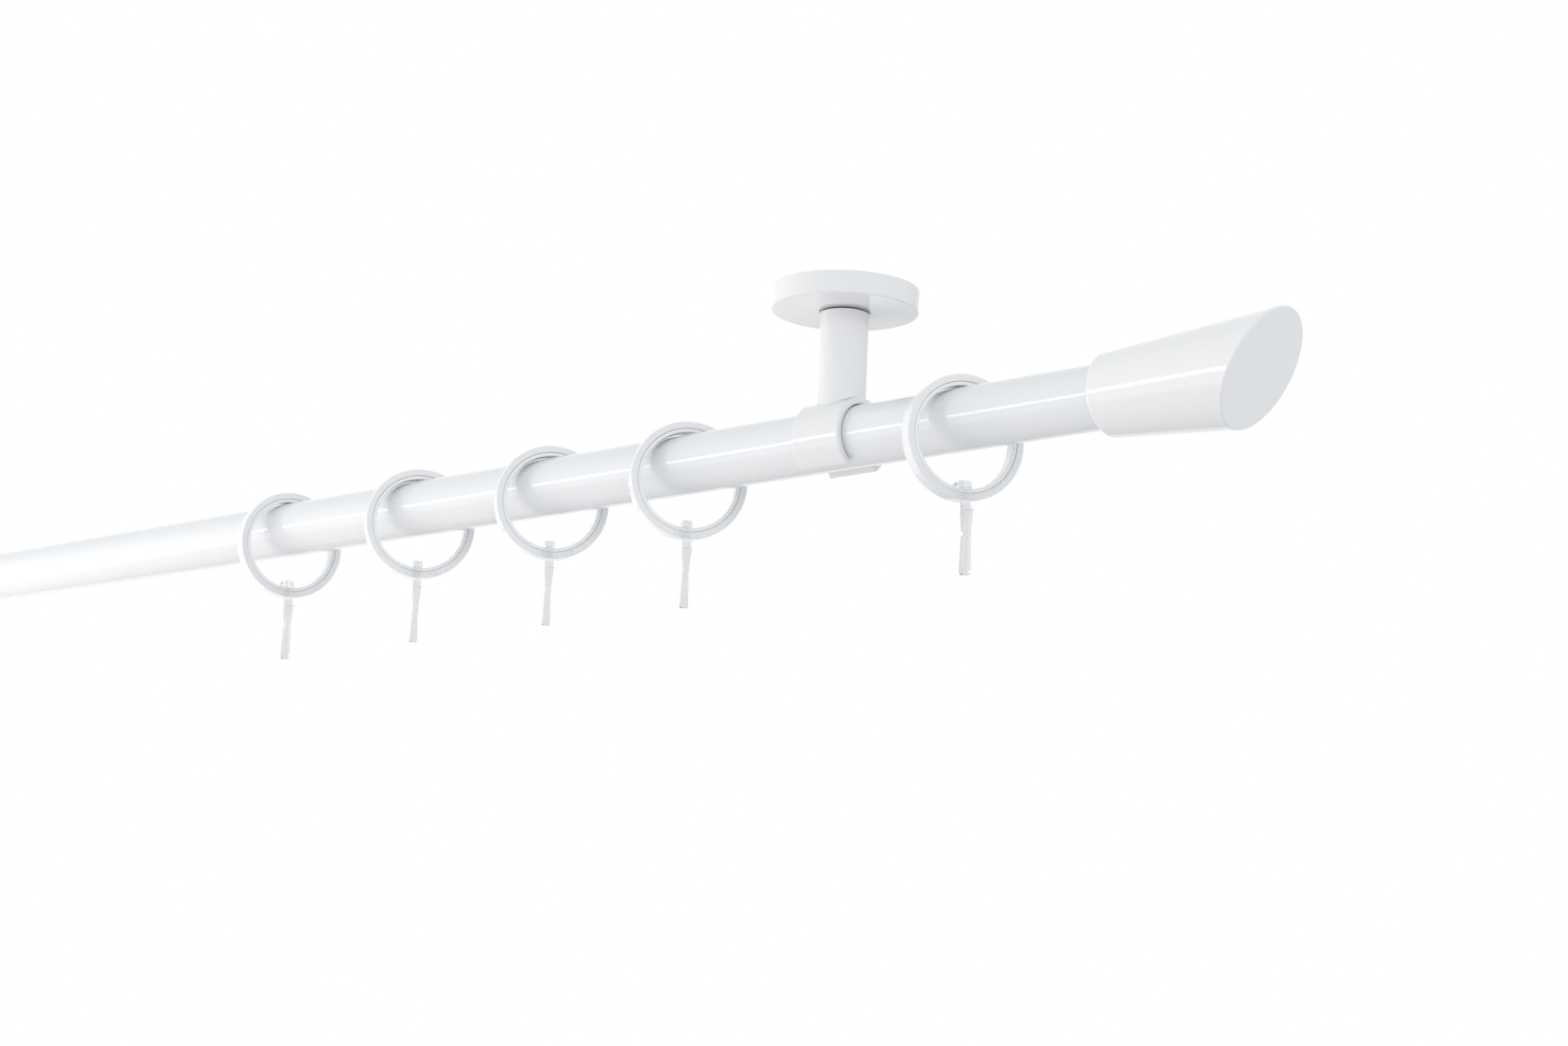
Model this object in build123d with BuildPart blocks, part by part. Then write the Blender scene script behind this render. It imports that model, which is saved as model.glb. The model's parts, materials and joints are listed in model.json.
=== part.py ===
"""Curtain rod hung from the ceiling: tube, two brackets, two finials, rings with liners, and hooks.

Millimetres, +Z up. The origin is on the ceiling, midway between the brackets, and the rod runs along X.
"""
from build123d import *

import os
from math import cos, radians, sin, sqrt, tan

# Rod
rod_length = 1200.0
rod_d = 20.0
rod_wall = 1.0
rod_drop = 49.3
bracket_inset = 132.0

# Ceiling plate and its two holes
plate_d = 38.0
plate_t = 3.0
plate_hole_pitch = 27.0
plate_hole_d = 4.5

# Rosette, a cover that slides on the stem
rosette_top_d = 47.6
rosette_bottom_d = 47.2
rosette_height = 7.3
rosette_wall = 1.6
rosette_edge = 0.4
rosette_clearance = 0.3

# Stem
stem_d = 15.7
stem_saddle_gap = 0.05

# Dark rubber ring in a groove of the stem, under the rosette
groove_gap = 0.1
groove_height = 0.6
groove_depth = 1.0
rubber_clearance = 0.05
rubber_inset = 0.25

# Clip round the rod
clip_length = 20.0
clip_wall = 2.2
clip_mouth = 66.0
clip_edge = 0.7
clip_lip = 0.6
clip_clearance = 0.2

# Countersunk screws above and below the stem
stem_screw_d = 6.0
stem_screw_head_d = 11.0
stem_screw_length = 14.0
clip_screw_d = 4.0
clip_screw_head_d = 7.2
clip_screw_length = 12.0
screw_recess = 0.1
screw_clearance = 0.05
drive_d = 2.6
drive_depth = 1.2

# Grub screws in the back of the clip and the finial
grub_d = 4.0
grub_length = 4.0
grub_drive_d = 2.2
grub_drive_depth = 1.6
clamp_gap = 0.02
finial_screw_gap = 0.1
finial_screw_inset = 9.0

# Finial
finial_collar_d = 25.5
finial_taper = 4.1
finial_axis_length = 53.4
finial_cut = 31.4
finial_turn = 9.0
finial_socket = 25.0
finial_clearance = 0.15
finial_end_gap = 0.2
finial_collar_edge = 1.0
finial_cut_edge = 0.4

# Rings and their liners
ring_outer_d = 39.5
ring_inner_d = 35.0
ring_width = 5.0
ring_edge = 0.3
liner_inner_d = 32.4
liner_width = 4.6
liner_edge = 0.4
liner_gap = 0.03
ring_rest_gap = 0.1

# Each ring's distance from its bracket towards the middle of the rod, and its turn about the vertical
ring_hang = [(-51.0, 24.0), (67.0, 32.0), (133.0, 31.0), (202.0, 29.0), (276.0, 17.0)]

# Hooks
hook_t = 1.4
hook_rim_t = 2.0
hook_width = 3.0
hook_waist = 2.3
hook_foot = 3.2
hook_side_gap = 0.7
hook_top_gap = 0.5
hook_bend = 1.5
hook_lip = 1.6
hook_neck = 2.3
hook_step = 2.0
hook_tongue = 10.4
hook_mouth = 1.3
hook_drop = 23.9

# Sizes that follow from the above
bracket_x = rod_length / 2 - bracket_inset
rod_r = rod_d / 2
clip_bore_r = rod_r + clip_clearance
clip_outer_r = clip_bore_r + clip_wall
groove_z = -rosette_height - groove_gap
collar_x = rod_length / 2 + finial_end_gap - finial_socket

os.makedirs("parts", exist_ok=True)


def save(part, name):
    """Label a finished piece and write its STEP file."""
    part.label = name
    export_step(part, f"parts/{name}.step")


def across_rod(x):
    """Plane across the rod at x, with Y to its right and Z up."""
    return Plane(origin=(x, 0, -rod_drop), x_dir=(0, 1, 0), z_dir=(1, 0, 0))


def behind_rod(x):
    """Plane behind the rod at x, square to the grub screws, which point at the rod's axis."""
    return Plane(origin=(x, 0, -rod_drop), x_dir=(1, 0, 0), z_dir=(0, 1, 0))


def make_countersunk_screw(seat, shank_d, head_d, length):
    """Countersunk screw whose flat head lies in the seat plane and faces along its normal."""
    head_height = (head_d - shank_d) / 2
    section = Plane(origin=seat.origin, x_dir=seat.x_dir, z_dir=-seat.y_dir)
    with BuildPart() as screw:
        with BuildSketch(section):
            with BuildLine():
                Polyline(
                    (0, 0),
                    (head_d / 2, 0),
                    (shank_d / 2, -head_height),
                    (shank_d / 2, -length),
                    (0, -length),
                    close=True,
                )
            make_face()
        revolve(axis=Axis(seat.origin, seat.z_dir))
        with BuildSketch(seat):
            RegularPolygon(drive_d / 2, 6)
        extrude(amount=-drive_depth, mode=Mode.SUBTRACT)
    return screw.part


def make_grub_screw(seat, tip):
    """Grub screw along the seat plane's normal, with its tip at the given distance."""
    with BuildPart() as screw:
        with BuildSketch(seat.offset(tip)):
            Circle(grub_d / 2)
        extrude(amount=grub_length)
        with BuildSketch(seat.offset(tip + grub_length)):
            RegularPolygon(grub_drive_d / 2, 6)
        extrude(amount=-grub_drive_depth, mode=Mode.SUBTRACT)
    return screw.part


def make_plate(x):
    """Ceiling plate: two holes along Y for the ceiling screws, one countersunk for the stem."""
    with BuildPart() as plate:
        with BuildSketch(Plane((x, 0, -plate_t))):
            Circle(plate_d / 2)
            with GridLocations(plate_hole_pitch, plate_hole_pitch, 1, 2):
                Circle(plate_hole_d / 2, mode=Mode.SUBTRACT)
        extrude(amount=plate_t)
        with Locations((x, 0, -screw_recess)):
            CounterSinkHole(
                stem_screw_d / 2 + screw_clearance,
                stem_screw_head_d / 2 + screw_clearance,
                counter_sink_angle=90,
            )
    return plate.part


def make_rosette(x):
    """Cup that covers the plate, with a hole for the stem in its floor."""
    top_r = rosette_top_d / 2
    bottom_r = rosette_bottom_d / 2
    hole_r = stem_d / 2 + rosette_clearance
    floor_z = rosette_wall - rosette_height
    with BuildPart() as rosette:
        with BuildSketch(Plane(origin=(x, 0, 0), x_dir=(1, 0, 0), z_dir=(0, -1, 0))) as section:
            with BuildLine():
                Polyline(
                    (hole_r, -rosette_height),
                    (bottom_r, -rosette_height),
                    (top_r, 0),
                    (top_r - rosette_wall, 0),
                    (bottom_r - rosette_wall, floor_z),
                    (hole_r, floor_z),
                    close=True,
                )
            make_face()
            rim = section.vertices().group_by(Axis.Y)[0].sort_by(Axis.X)[-1]
            fillet(rim, rosette_edge)
        revolve(axis=Axis((x, 0, 0), (0, 0, 1)))
    return rosette.part


def make_stem(x):
    """Round post, coped over the clip, tapped at both ends and grooved under the rosette."""
    saddle = clip_outer_r + stem_saddle_gap
    stem_screw_depth = stem_screw_length - plate_t + grub_length
    clip_screw_depth = clip_screw_length + grub_length
    with BuildPart() as stem:
        with BuildSketch(Plane((x, 0, -rod_drop))):
            Circle(stem_d / 2)
        extrude(amount=rod_drop - plate_t)
        with BuildSketch(Plane((x, 0, groove_z))):
            Circle(stem_d)
            Circle(stem_d / 2 - groove_depth, mode=Mode.SUBTRACT)
        extrude(amount=-groove_height, mode=Mode.SUBTRACT)
        with BuildSketch(across_rod(x - stem_d)):
            Circle(saddle)
        extrude(amount=2 * stem_d, mode=Mode.SUBTRACT)
        with BuildSketch(Plane((x, 0, -plate_t))):
            Circle(stem_screw_d / 2 + screw_clearance)
        extrude(amount=-stem_screw_depth, mode=Mode.SUBTRACT)
        with BuildSketch(Plane((x, 0, clip_bore_r - rod_drop))):
            Circle(clip_screw_d / 2 + screw_clearance)
        extrude(amount=clip_screw_depth, mode=Mode.SUBTRACT)
    return stem.part


def make_rubber_ring(x):
    """Rubber ring in the stem's groove, which keeps the rosette from dropping."""
    with BuildPart() as rubber:
        with BuildSketch(Plane((x, 0, groove_z - rubber_clearance))):
            Circle(stem_d / 2 - rubber_inset)
            Circle(stem_d / 2 - groove_depth + rubber_clearance, mode=Mode.SUBTRACT)
        extrude(amount=2 * rubber_clearance - groove_height)
    return rubber.part


def make_clip(x):
    """Open C round the rod, with rounded lips, a hole for its screw on top and one for the grub screw behind."""
    screw_seat = Plane(origin=(x, 0, clip_bore_r + screw_recess - rod_drop), z_dir=(0, 0, -1))
    with BuildPart() as clip:
        with BuildSketch(across_rod(x - clip_length / 2)) as section:
            with BuildLine():
                outer = CenterArc((0, 0), clip_outer_r, 270 + clip_mouth / 2, 360 - clip_mouth)
                inner = CenterArc((0, 0), clip_bore_r, 270 + clip_mouth / 2, 360 - clip_mouth)
                Line(outer @ 0, inner @ 0)
                Line(outer @ 1, inner @ 1)
            make_face()
            fillet(section.vertices(), clip_lip)
        extrude(amount=clip_length)
        ends = clip.edges().filter_by(GeomType.CIRCLE).group_by(SortBy.RADIUS)[-1]
        fillet(ends, clip_edge)
        with Locations(screw_seat):
            CounterSinkHole(
                clip_screw_d / 2 + screw_clearance,
                clip_screw_head_d / 2 + screw_clearance,
                depth=clip_outer_r,
                counter_sink_angle=90,
            )
        with BuildSketch(behind_rod(x)):
            Circle(grub_d / 2 + screw_clearance)
        extrude(amount=2 * clip_outer_r, mode=Mode.SUBTRACT)
    return clip.part


def make_finial(side):
    """Tapered end piece with a slanted flat end, and a socket for the rod."""
    outward = (side, 0, 0)
    collar = Plane(origin=(side * collar_x, 0, -rod_drop), x_dir=(0, 1, 0), z_dir=outward)
    lean = sin(radians(finial_cut))
    cut_normal = (
        side * cos(radians(finial_cut)),
        lean * sin(radians(finial_turn)),
        -lean * cos(radians(finial_turn)),
    )
    cut = Plane(origin=collar.offset(finial_axis_length).origin, z_dir=cut_normal)
    blank_length = finial_axis_length + finial_collar_d * tan(radians(finial_cut))
    screw_seat = behind_rod(side * (collar_x + finial_screw_inset))
    with BuildPart() as finial:
        with BuildSketch(collar):
            Circle(finial_collar_d / 2)
        extrude(amount=blank_length, taper=-finial_taper)
        split(bisect_by=cut, keep=Keep.BOTTOM)
        rim = finial.faces().sort_by(Axis(cut.origin, cut.z_dir))[-1].edges()
        fillet(rim, finial_cut_edge)
        mouth = finial.faces().sort_by(Axis(collar.origin, collar.z_dir))[0].edges()
        fillet(mouth, finial_collar_edge)
        with BuildSketch(collar):
            Circle(rod_r + finial_clearance)
        extrude(amount=finial_socket, mode=Mode.SUBTRACT)
        with BuildSketch(screw_seat):
            Circle(grub_d / 2 + screw_clearance)
        extrude(amount=finial_collar_d, mode=Mode.SUBTRACT)
    return finial.part


def ring_height(turn):
    """Height of a turned ring's centre over the rod's axis, where its liner's edges just clear the rod.

    Seen along the rod, each edge of the liner is a narrow ellipse, set to one side by the turn.
    """
    clear_r = rod_r + ring_rest_gap
    liner_r = liner_inner_d / 2
    shift = liner_width / 2 * sin(radians(turn))
    heights = []
    for angle in range(90):
        y = liner_r * cos(radians(turn)) * sin(radians(angle)) - shift
        if abs(y) < clear_r:
            heights.append(sqrt(clear_r**2 - y**2) - liner_r * cos(radians(angle)))
    return max(heights)


def make_ring(hang):
    """Flat-sided ring; the hang plane is the ring's middle plane."""
    with BuildPart() as ring:
        with BuildSketch(hang.offset(-ring_width / 2)):
            Circle(ring_outer_d / 2)
            Circle(ring_inner_d / 2, mode=Mode.SUBTRACT)
        extrude(amount=ring_width)
        chamfer(ring.edges().filter_by(GeomType.CIRCLE), ring_edge)
    return ring.part


def make_liner(hang):
    """Glide liner inside a ring, a little narrower than the ring."""
    with BuildPart() as liner:
        with BuildSketch(hang.offset(-liner_width / 2)):
            Circle(ring_inner_d / 2 - liner_gap)
            Circle(liner_inner_d / 2, mode=Mode.SUBTRACT)
        extrude(amount=liner_width)
        inside = liner.edges().filter_by(GeomType.CIRCLE).group_by(SortBy.RADIUS)[0]
        chamfer(inside, liner_edge)
    return liner.part


def make_hook(hang):
    """Clear hook: a thick C over the ring's lower rim, a tongue, and a long leg that turns up into a prong."""
    rim_y = -ring_outer_d / 2
    lip_y = rim_y + hook_lip
    front_x = ring_width / 2 + hook_side_gap + hook_rim_t / 2
    top_y = hook_rim_t / 2 + hook_top_gap - liner_inner_d / 2
    tongue_y = rim_y - hook_tongue
    leg_x = front_x + hook_step
    arch_y = rim_y - hook_neck - hook_t / 2
    turn_y = rim_y - hook_drop + hook_t / 2 + hook_step / 2
    prong_y = tongue_y - hook_mouth - hook_t / 2
    side = Plane(origin=hang.origin, x_dir=hang.z_dir, z_dir=-hang.x_dir)
    with BuildPart() as hook:
        with BuildSketch(side):
            with BuildLine() as over_rim:
                FilletPolyline(
                    (-front_x, lip_y), (-front_x, top_y), (front_x, top_y), (front_x, lip_y), radius=hook_bend
                )
            trace(over_rim.line, hook_rim_t)
            with Locations(over_rim.line @ 0, over_rim.line @ 1):
                Circle(hook_rim_t / 2)
            with BuildLine() as tongue:
                Line((front_x, lip_y), (front_x, tongue_y + hook_t / 2))
            trace(tongue.line, hook_t)
            with BuildLine() as leg:
                arch = FilletPolyline((front_x, arch_y), (leg_x, arch_y), (leg_x, turn_y), radius=hook_bend)
                turn = TangentArc(arch @ 1, (leg_x - hook_step, turn_y), tangent=arch % 1)
                Line(turn @ 1, (leg_x - hook_step, prong_y))
            trace(leg.line, hook_t)
            with Locations(tongue.line @ 1, leg.line @ 1):
                Circle(hook_t / 2)
        extrude(amount=hook_foot, both=True)
        with BuildSketch(hang) as outline:
            with BuildLine():
                Polyline(
                    (-hook_width / 2, 0),
                    (-hook_width / 2, arch_y - hook_bend),
                    (-hook_waist / 2, tongue_y),
                    (-hook_foot / 2, rim_y - hook_drop),
                    (hook_foot / 2, rim_y - hook_drop),
                    (hook_waist / 2, tongue_y),
                    (hook_width / 2, arch_y - hook_bend),
                    (hook_width / 2, 0),
                    close=True,
                )
            make_face()
            fillet(outline.vertices().group_by(Axis.Y)[0], hook_foot / 4)
        extrude(amount=leg_x + hook_t, both=True, mode=Mode.INTERSECT)
    return hook.part


with BuildPart() as rod_tube:
    with BuildSketch(across_rod(-rod_length / 2)):
        Circle(rod_r)
        Circle(rod_r - rod_wall, mode=Mode.SUBTRACT)
    extrude(amount=rod_length)
save(rod_tube.part, "rod_tube")

for side, name in ((-1, "left"), (1, "right")):
    x = side * bracket_x
    stem_seat = Plane((x, 0, -screw_recess))
    clip_seat = Plane(origin=(x, 0, clip_bore_r + screw_recess - rod_drop), z_dir=(0, 0, -1))
    finial_seat = behind_rod(side * (collar_x + finial_screw_inset))
    save(make_plate(x), f"{name}_mounting_plate")
    save(make_rosette(x), f"{name}_rosette")
    save(make_stem(x), f"{name}_stem")
    save(make_rubber_ring(x), f"{name}_rubber_ring")
    save(make_clip(x), f"{name}_clip")
    save(
        make_countersunk_screw(stem_seat, stem_screw_d, stem_screw_head_d, stem_screw_length),
        f"{name}_stem_screw",
    )
    save(
        make_countersunk_screw(clip_seat, clip_screw_d, clip_screw_head_d, clip_screw_length),
        f"{name}_clip_screw",
    )
    save(make_grub_screw(behind_rod(x), rod_r + clamp_gap), f"{name}_clamp_screw")
    save(make_finial(side), f"{name}_finial")
    save(make_grub_screw(finial_seat, rod_r + finial_screw_gap), f"{name}_finial_screw")

hanging = []
for side in (-1, 1):
    for inward, turn in ring_hang:
        hanging.append((side * (bracket_x - inward), side, turn))

for number, (x, side, turn) in enumerate(sorted(hanging), start=1):
    hang = Plane(
        origin=(x, 0, ring_height(turn) - rod_drop),
        x_dir=(sin(radians(turn)), side * cos(radians(turn)), 0),
        z_dir=(side * cos(radians(turn)), -sin(radians(turn)), 0),
    )
    save(make_ring(hang), f"ring_{number:02d}")
    save(make_liner(hang), f"liner_{number:02d}")
    save(make_hook(hang), f"hook_{number:02d}")
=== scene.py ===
"""Looks of a ceiling-hung curtain rod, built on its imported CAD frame.

Metres, in the CAD frame: the rod runs along X, +Z is up and the ceiling is at z = 0.
"""
import json
from math import copysign, cos, pi, radians, sin, sqrt

import bmesh
import bpy
from bpy.props import FloatProperty, FloatVectorProperty, PointerProperty
from mathutils import Matrix, Vector


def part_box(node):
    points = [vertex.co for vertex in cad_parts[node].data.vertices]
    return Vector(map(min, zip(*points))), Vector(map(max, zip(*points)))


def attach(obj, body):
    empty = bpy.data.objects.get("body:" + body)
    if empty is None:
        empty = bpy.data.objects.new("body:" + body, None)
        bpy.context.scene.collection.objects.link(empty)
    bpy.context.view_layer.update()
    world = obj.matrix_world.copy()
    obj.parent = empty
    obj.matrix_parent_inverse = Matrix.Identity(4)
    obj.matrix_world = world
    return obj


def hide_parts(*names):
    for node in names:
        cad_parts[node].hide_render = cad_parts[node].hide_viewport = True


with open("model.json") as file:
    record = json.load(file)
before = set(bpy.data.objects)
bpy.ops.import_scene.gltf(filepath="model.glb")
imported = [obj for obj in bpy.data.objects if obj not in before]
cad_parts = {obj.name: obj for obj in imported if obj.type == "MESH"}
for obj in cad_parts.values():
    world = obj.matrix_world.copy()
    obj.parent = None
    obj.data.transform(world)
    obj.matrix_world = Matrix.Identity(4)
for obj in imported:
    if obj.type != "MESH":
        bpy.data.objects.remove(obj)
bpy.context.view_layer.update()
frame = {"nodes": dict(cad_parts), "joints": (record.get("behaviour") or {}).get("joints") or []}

bl_info = {
    "name": "Curtain Rod with Brackets",
    "version": (1, 0, 0),
    "blender": (4, 5, 0),
    "location": "View3D > Sidebar > Curtain Rod",
    "description": "Models and finishes a ceiling-hung curtain rod on its CAD frame",
    "category": "Object",
}

SIDES = ("left", "right")
ROOT = "rod_and_brackets"
RING_NUMBERS = [f"{n:02d}" for n in range(1, 11)]
CORNER = radians(35)  # least angle between two faces that counts as a corner
CREASE = radians(40)  # least angle between two faces that is shaded as an edge
SAME_PLACE = 1e-7  # distance at which two points are one
ROD_STEPS = 96
COVER_STEPS = 128
POST_STEPS = 96
RING_STEPS = 120
BEND_STEPS = 8
FOOT_STEPS = 14
TIP_ROUNDING = 0.85  # rounding of a hook's tips, as a share of half its thickness
SHORTEST_RIM_EDGE = 0.0004  # tells the edges of a post's rims from those of its roundings
WHITE = (1.0, 1.0, 1.0, 1.0)


def middle(node):
    """Middle of a CAD node's box."""
    low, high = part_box(node)
    return (low + high) / 2


def spread(node):
    """Size of a CAD node's box along X, Y and Z."""
    low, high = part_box(node)
    return high - low


ROD_AXIS = middle("rod_tube")


def length(name, description, default):
    """A length in metres that the user can change."""
    return FloatProperty(
        name=name, description=description, default=default, min=0.0, precision=5, unit="LENGTH"
    )


def angle(name, description, degrees):
    """An angle that the user can change."""
    return FloatProperty(name=name, description=description, default=radians(degrees), unit="ROTATION")


def power(name, description, watts):
    """Power of a light that the user can change."""
    return FloatProperty(name=name, description=description, default=watts, min=0.0, unit="POWER")


def glow(name, description, strength):
    """Strength of the world's light that the user can change."""
    return FloatProperty(name=name, description=description, default=strength, min=0.0)


def colour(name, description, default):
    """A linear colour that the user can change."""
    return FloatVectorProperty(
        name=name, description=description, default=default, size=3, min=0.0, max=1.0, subtype="COLOR"
    )


class CurtainRodBracketSizes(bpy.types.PropertyGroup):
    """Rod and bracket sizes that the frame's boxes don't give."""

    rod_wall: length("Rod wall", "Wall of the rod's tube", 0.001)
    rod_edge: length("Rod edge", "Rounding of the rod's two cut ends", 0.00015)
    rosette_wall: length("Rosette wall", "Wall of the cover at the ceiling", 0.0016)
    rosette_taper: length("Rosette taper", "How much smaller the cover's lower face is in radius", 0.0002)
    rosette_edge: length("Rosette edge", "Rounding of the cover's lower edge", 0.0004)
    rosette_fine_edge: length("Rosette fine edge", "Rounding of the cover's other edges", 0.00015)
    rosette_gap: length("Rosette gap", "Gap between the stem and the hole in the cover", 0.0003)
    stem_edge: length("Stem edge", "Rounding where the stem meets the clip", 0.0004)
    # The groove holds a near-black ring whose colour is painted shadow in the gap under the cover.
    groove_depth: length("Groove depth", "Depth of the stem's groove for the rubber ring", 0.001)
    groove_gap: length("Groove gap", "Gap above and below the rubber ring", 0.00005)
    groove_edge: length("Groove edge", "Rounding of the groove's two edges", 0.00006)
    saddle_gap: length("Saddle gap", "Gap between the stem's saddle and the clip", 0.00005)


class CurtainRodRingSizes(bpy.types.PropertyGroup):
    """Ring and liner sizes."""

    ring_outer: length("Ring radius", "Outer radius of a ring", 0.01975)
    ring_inner: length("Ring bore", "Inner radius of a ring", 0.0175)
    ring_width: length("Ring width", "Width of a ring along its axis", 0.005)
    ring_edge: length("Ring edge", "Rounding of a ring's edges", 0.0003)
    liner_outer: length("Liner radius", "Outer radius of a liner", 0.01747)
    liner_inner: length("Liner bore", "Inner radius of a liner", 0.0162)
    liner_width: length("Liner width", "Width of a liner along its axis", 0.0046)
    liner_edge: length("Liner edge", "Rounding of a liner's edges", 0.00035)


class CurtainRodHookSizes(bpy.types.PropertyGroup):
    """Hook sizes. Heights are below the ring's lower rim."""

    thickness: length("Thickness", "Thickness of the leg and the tongue", 0.0014)
    rim_thickness: length("Rim thickness", "Thickness of the C over the ring", 0.002)
    lip: length("Lip", "Height above the rim where the thick C ends", 0.0016)
    width: length("Width", "Width of the strip over the ring", 0.003)
    waist: length("Waist", "Width at the tongue's tip", 0.002)
    foot: length("Foot", "Width at the lower bend", 0.0028)
    side_gap: length("Side gap", "Gap between the strip and each face of the ring", 0.0007)
    top_gap: length("Top gap", "Gap between the strip and the liner's bore", 0.0005)
    bend: length("Bend", "Radius of the strip's upper bends", 0.0015)
    neck: length("Neck", "Drop from the rim to the arch", 0.0023)
    step: length("Step", "Distance from the tongue to the long leg", 0.002)
    tongue: length("Tongue", "Drop from the rim to the tongue's tip", 0.0104)
    mouth: length("Mouth", "Gap between the tongue and the prong", 0.0013)
    drop: length("Drop", "Drop from the rim to the lower bend", 0.0239)
    edge: length("Edge", "Rounding of the strip's edges", 0.0001)
    turn: angle("Turn", "How far a hook is turned on its ring towards the front", 6.0)


class CurtainRodColours(bpy.types.PropertyGroup):
    """Colours of the finishes and the stage."""

    rod: colour("Rod", "Glossy coat of the rod, a little cooler than the brackets", (0.80, 0.808, 0.825))
    rod_shade: colour("Rod shade", "The rod's coat where it is a little thinner", (0.775, 0.785, 0.805))
    lacquer: colour("Lacquer", "Glossy white coat on the brackets", (0.81, 0.81, 0.82))
    lacquer_shade: colour(
        "Lacquer shade", "The brackets' coat where it is a little thinner", (0.785, 0.785, 0.797)
    )
    ring: colour("Ring", "White coat on the rings", (0.83, 0.832, 0.845))
    ring_shade: colour("Ring shade", "The rings' coat where it is a little thinner", (0.80, 0.803, 0.818))
    finial: colour("Finial", "White moulded plastic", (0.85, 0.85, 0.86))
    finial_shade: colour("Finial shade", "The plastic along its flow lines", (0.825, 0.825, 0.837))
    liner: colour("Liner", "Pale glide plastic", (0.88, 0.885, 0.895))
    liner_shade: colour("Liner shade", "Glide plastic where it is worn dull", (0.85, 0.855, 0.868))
    clear: colour("Clear plastic", "Body colour of the hooks", (0.97, 0.97, 0.975))
    clear_shade: colour("Clear plastic shade", "Hooks along their flow lines", (0.94, 0.94, 0.948))
    zinc: colour("Zinc", "Zinc plate on steel", (0.38, 0.39, 0.41))
    zinc_shade: colour("Zinc shade", "Darker spangles of the zinc", (0.26, 0.27, 0.29))
    # Painted shadow: the near-black colour of the rings under the covers stands in for the shadow in the gap
    # where each stem enters its cover.
    rubber: colour("Rubber", "Black rubber under the covers", (0.020, 0.020, 0.022))
    rubber_shade: colour("Rubber shade", "Greyer bloom on the rubber", (0.035, 0.035, 0.037))
    dust: colour("Dust", "Thin dust on upward faces", (0.72, 0.72, 0.72))
    floor: colour("Floor", "Pale studio floor", (0.66, 0.67, 0.68))
    floor_shade: colour("Floor shade", "Slightly darker patches of the floor", (0.63, 0.64, 0.65))
    sky: colour("Sky", "Slightly cool colour of the light all round", (0.97, 0.99, 1.0))
    lamp: colour("Lamp", "Slightly warm colour of the fill lights", (1.0, 0.93, 0.87))


class CurtainRodStage(bpy.types.PropertyGroup):
    """Camera, lights and floor."""

    camera: FloatVectorProperty(
        name="Camera",
        description="Place of the camera",
        default=(1.1379, -0.7383, -0.2809),
        size=3,
        subtype="TRANSLATION",
    )
    yaw: angle("Yaw", "Turn of the camera to the left of the rod's square view", 43.17)
    pitch: angle("Pitch", "Upward tilt of the camera", 11.56)
    roll: angle("Roll", "Roll of the camera", 2.48)
    lens: FloatProperty(
        name="Lens", description="Focal length on a 36 mm sensor", default=73.94, min=1.0, unit="CAMERA"
    )
    floor_drop: length("Floor drop", "Distance from the ceiling down to the floor", 0.9)
    floor_size: length("Floor size", "Half the side of the square floor", 1.5)
    sky: glow("Sky", "Strength of the even light all round", 0.55)
    sky_front: glow("Sky in front", "Strength of the light that the front adds", 0.34)
    sky_right: glow("Sky at the right", "Strength of the light that the right adds", 0.5)
    sky_left: glow("Sky at the left", "Strength of the light that the left adds", 0.2)
    sky_mirror: glow("Sky in mirrors", "How much brighter the sky is in the coats' reflections", 0.75)
    sky_through: glow("Sky in hooks", "How much brighter the sky is through the clear hooks", 0.16)
    strip: power("Strip", "Long soft strip in front, at the rod's height", 5.5)
    left: power("Left", "Small soft light low at the left", 1.4)
    front: power("Front", "Large soft light in front, at the left", 0.7)
    below: power("Below", "Fill light below the rod's middle", 3.3)


def keep_within(edges, test):
    """Edges with a clear corner between their faces, of those that pass a test."""
    return [edge for edge in edges if edge.calc_face_angle(0.0) > CORNER and test(edge)]


def is_level(edge):
    """Whether an edge's two ends are at one height."""
    return abs(edge.verts[0].co.z - edge.verts[1].co.z) < SAME_PLACE


def round_edges(bm, width, segments, test=lambda edge: True):
    """Round the corners that pass a test."""
    bmesh.ops.bevel(
        bm,
        geom=keep_within(bm.edges, test),
        offset=width,
        offset_type="OFFSET",
        affect="EDGES",
        segments=segments,
        profile=0.5,
        material=-1,
        clamp_overlap=False,
    )


def spin_section(points, centre, axis, steps):
    """A closed section, turned once about an axis."""
    bm = bmesh.new()
    corners = [bm.verts.new(point) for point in points]
    for start, end in zip(corners, corners[1:] + corners[:1]):
        bm.edges.new((start, end))
    bmesh.ops.spin(
        bm, geom=bm.verts[:] + bm.edges[:], cent=centre, axis=axis, angle=2 * pi, steps=steps, use_merge=True
    )
    close_shell(bm)
    return bm


def close_shell(bm):
    """Merge doubles, then turn all faces outwards."""
    bmesh.ops.remove_doubles(bm, verts=bm.verts, dist=SAME_PLACE)
    bmesh.ops.recalc_face_normals(bm, faces=bm.faces)


def rim_of(geometry):
    """The edges in a bmesh operator's result."""
    return [item for item in geometry if isinstance(item, bmesh.types.BMEdge)]


def push_rim(bm, rim, step):
    """Carry a rim of edges on by a step, and return the new rim."""
    made = bmesh.ops.extrude_edge_only(bm, edges=rim)["geom"]
    verts = [item for item in made if isinstance(item, bmesh.types.BMVert)]
    bmesh.ops.translate(bm, verts=verts, vec=step)
    return [edge for edge in rim_of(made) if all(vert in verts for vert in edge.verts)]


def bend_rim(bm, rim, centre, turn, steps):
    """Carry a rim round a bend about Y, and return the new rim."""
    corners = list({vert for edge in rim for vert in edge.verts})
    made = bmesh.ops.spin(bm, geom=corners + rim, cent=centre, axis=(0, 1, 0), angle=turn, steps=steps)
    return rim_of(made["geom_last"])


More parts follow.
